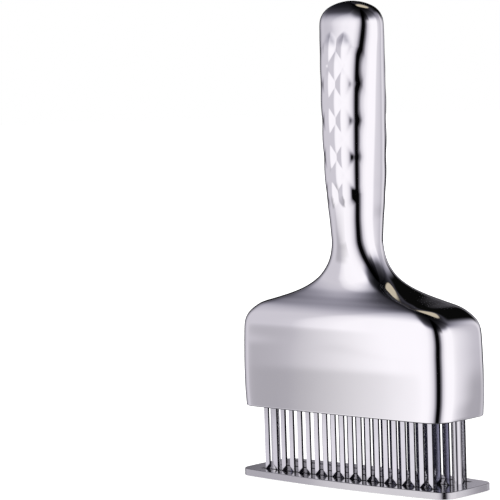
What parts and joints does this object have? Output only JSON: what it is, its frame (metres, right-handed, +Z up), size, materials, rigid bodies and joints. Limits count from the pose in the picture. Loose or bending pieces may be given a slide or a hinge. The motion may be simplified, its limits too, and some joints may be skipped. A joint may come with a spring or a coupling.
{
  "type": "blade meat tenderizer",
  "caption": "Upright hand-pressed meat tenderizer: chromed one-piece grip and hollow housing, rows of narrow blades, and a slotted guard plate that slides up its posts against springs.",
  "frame": {"origin": "centre of the guard plate's underside, on the surface the tool stands on", "axes": "+Z up along the grip, X along the blade rows, -Y towards the front face"},
  "size_m": [0.1232, 0.041, 0.216],
  "materials": {
    "chrome_casting": "mirror chrome plate on a zinc casting",
    "polished_plate": "bright polished stainless plate",
    "blade_steel": "fine ground stainless blade strip",
    "post_steel": "polished ground rod",
    "carrier_aluminium": "satin machined plate",
    "bar_steel": "sawn and ground bar",
    "fastener_steel": "stainless fastener",
    "bush_brass": "turned bearing bronze",
    "clip_steel": "stamped spring steel",
    "spring_steel": "drawn stainless wire"
  },
  "bodies": {
    "body": {"blade_carrier": "carrier_aluminium", "carrier_screws": "fastener_steel", "cross_bolt_nuts": "fastener_steel", "cross_bolts": "fastener_steel", "front_blade_comb": "blade_steel", "front_clamp_bar": "bar_steel", "front_spacer_bar": "bar_steel", "guide_bush_left": "bush_brass", "guide_bush_right": "bush_brass", "housing": "chrome_casting", "middle_blade_comb": "blade_steel", "rear_blade_comb": "blade_steel", "rear_clamp_bar": "bar_steel", "rear_spacer_bar": "bar_steel", "return_spring_left": "spring_steel", "return_spring_right": "spring_steel"},
    "guard": {"guard_plate": "polished_plate", "guide_post_left": "post_steel", "guide_post_right": "post_steel", "post_clip_left": "clip_steel", "post_clip_right": "clip_steel", "spring_seat_left": "clip_steel", "spring_seat_right": "clip_steel", "post_screws": "fastener_steel"}
  },
  "joints": [
    {"name": "guard_slide", "type": "slide", "parent": "body", "child": "guard", "axis": [0, 0, 1], "range_m": [0, 0.0215], "stiffness_N_per_m": 3400, "springref_m": -0.006, "deforming": ["return_spring_left", "return_spring_right"]}
  ]
}
